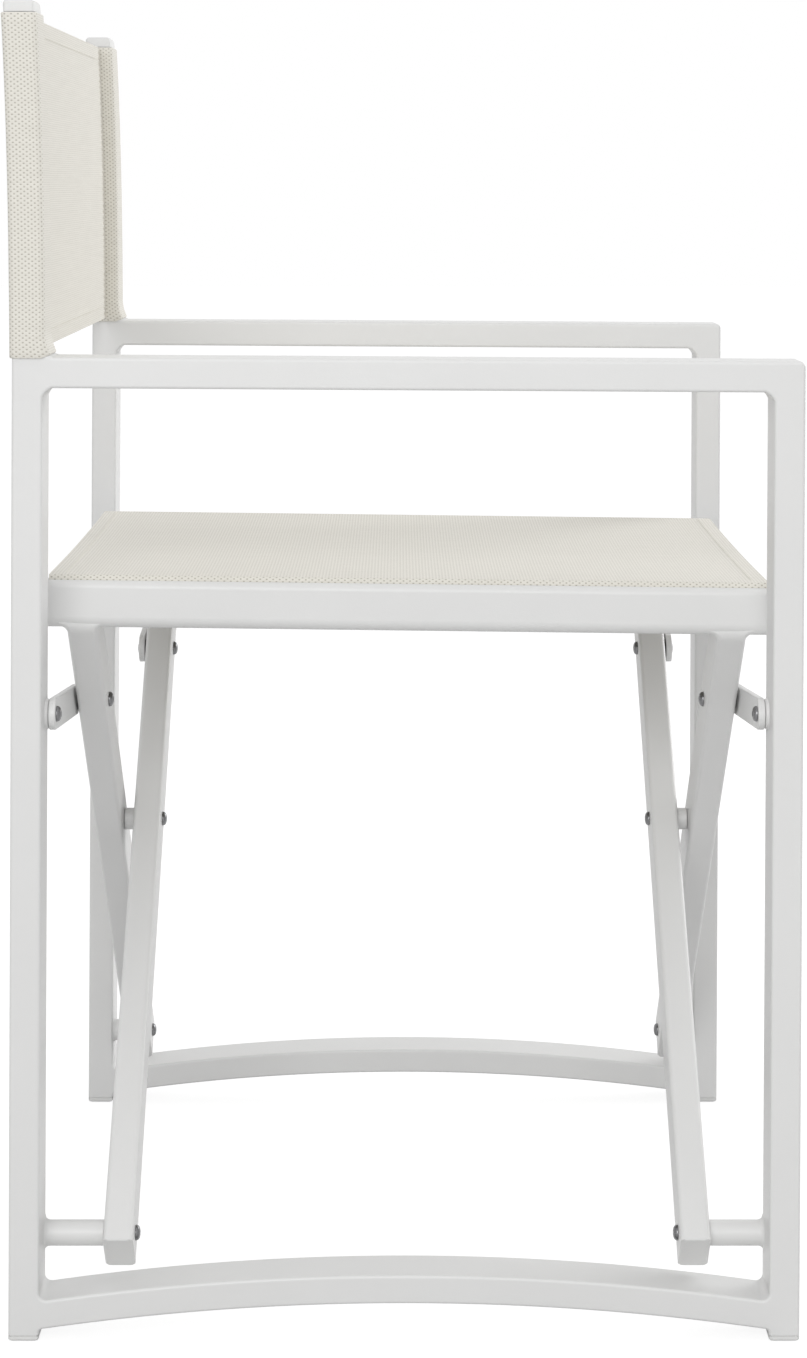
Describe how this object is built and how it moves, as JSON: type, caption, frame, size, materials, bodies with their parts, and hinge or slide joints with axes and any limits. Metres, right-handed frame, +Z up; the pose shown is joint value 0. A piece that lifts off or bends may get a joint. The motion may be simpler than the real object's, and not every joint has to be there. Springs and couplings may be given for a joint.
{
  "type": "directors chair",
  "caption": "Folding directors chair: white tube side frames with flat arms, crossed legs, brace links, and cream mesh seat and back slings.",
  "frame": {"origin": "on the floor, midway between the posts and midway between the side frames", "axes": "+X to the front of the chair, +Y to the sitter's left, +Z up"},
  "size_m": [0.52, 0.5734, 0.878],
  "materials": {
    "powder_coat": "satin",
    "mesh_fabric": "woven mesh",
    "steel": "bright",
    "plastic": "matte"
  },
  "bodies": {
    "right_side_frame": {"back_panel": "mesh_fabric", "right_back_post": "powder_coat", "right_front_post": "powder_coat", "right_arm": "powder_coat", "right_stretcher": "powder_coat", "right_post_cap": "plastic", "right_back_sleeve": "mesh_fabric", "right_back_glide": "plastic", "right_back_pivot_rod": "powder_coat", "right_back_link_boss": "powder_coat", "right_back_foot_bolt": "steel", "right_front_glide": "plastic", "right_front_pivot_rod": "powder_coat", "right_front_link_boss": "powder_coat", "right_front_foot_bolt": "steel"},
    "inner_leg_frame": {"seat_sling": "mesh_fabric", "left_seat_rail": "powder_coat", "left_keder_rod": "plastic", "left_back_leg_bolt": "steel", "left_back_washer": "steel", "left_front_leg_bolt": "steel", "left_front_washer": "steel", "inner_back_leg": "powder_coat", "inner_front_leg": "powder_coat"},
    "outer_leg_frame": {"right_seat_rail": "powder_coat", "right_keder_rod": "plastic", "right_back_leg_bolt": "steel", "right_back_washer": "steel", "right_front_leg_bolt": "steel", "right_front_washer": "steel", "outer_back_leg": "powder_coat", "back_centre_spacer": "powder_coat", "back_centre_bolt": "steel", "outer_front_leg": "powder_coat", "front_centre_spacer": "powder_coat", "front_centre_bolt": "steel"},
    "left_side_frame": {"left_back_post": "powder_coat", "left_front_post": "powder_coat", "left_arm": "powder_coat", "left_stretcher": "powder_coat", "left_post_cap": "plastic", "left_back_sleeve": "mesh_fabric", "left_back_glide": "plastic", "left_back_pivot_rod": "powder_coat", "left_back_link_boss": "powder_coat", "left_back_foot_bolt": "steel", "left_front_glide": "plastic", "left_front_pivot_rod": "powder_coat", "left_front_link_boss": "powder_coat", "left_front_foot_bolt": "steel"},
    "right_links": {"right_back_link": "powder_coat", "right_back_link_bolt": "steel", "right_front_link": "powder_coat", "right_front_link_bolt": "steel"},
    "left_links": {"left_back_link": "powder_coat", "left_back_link_bolt": "steel", "left_front_link": "powder_coat", "left_front_link_bolt": "steel"}
  },
  "joints": [
    {"name": "fold", "type": "hinge", "parent": "right_side_frame", "child": "inner_leg_frame", "pos_m": [0, -0.248, 0.06], "axis": [1, 0, 0], "range_deg": [0, 29], "deforming": ["seat_sling", "back_panel"]},
    {"name": "scissor", "type": "hinge", "parent": "inner_leg_frame", "child": "outer_leg_frame", "pos_m": [0, 0, 0.28765], "axis": [1, 0, 0], "range_deg": [-58.5, 0]},
    {"name": "left_foot", "type": "hinge", "parent": "outer_leg_frame", "child": "left_side_frame", "pos_m": [0, 0.248, 0.06], "axis": [1, 0, 0], "range_deg": [0, 29.5]},
    {"name": "right_link_swing", "type": "hinge", "parent": "right_side_frame", "child": "right_links", "pos_m": [0, -0.257, 0.41055], "axis": [1, 0, 0], "range_deg": [0, 68.35]},
    {"name": "left_link_swing", "type": "hinge", "parent": "left_side_frame", "child": "left_links", "pos_m": [0, 0.257, 0.41055], "axis": [1, 0, 0], "range_deg": [-68.35, 0]}
  ],
  "couplings": [
    {"joint": "scissor", "follows": "fold", "ratio": -2},
    {"joint": "left_foot", "follows": "fold", "ratio": 1},
    {"joint": "right_link_swing", "follows": "fold", "ratio": 2.3396},
    {"joint": "left_link_swing", "follows": "fold", "ratio": -2.3396}
  ]
}
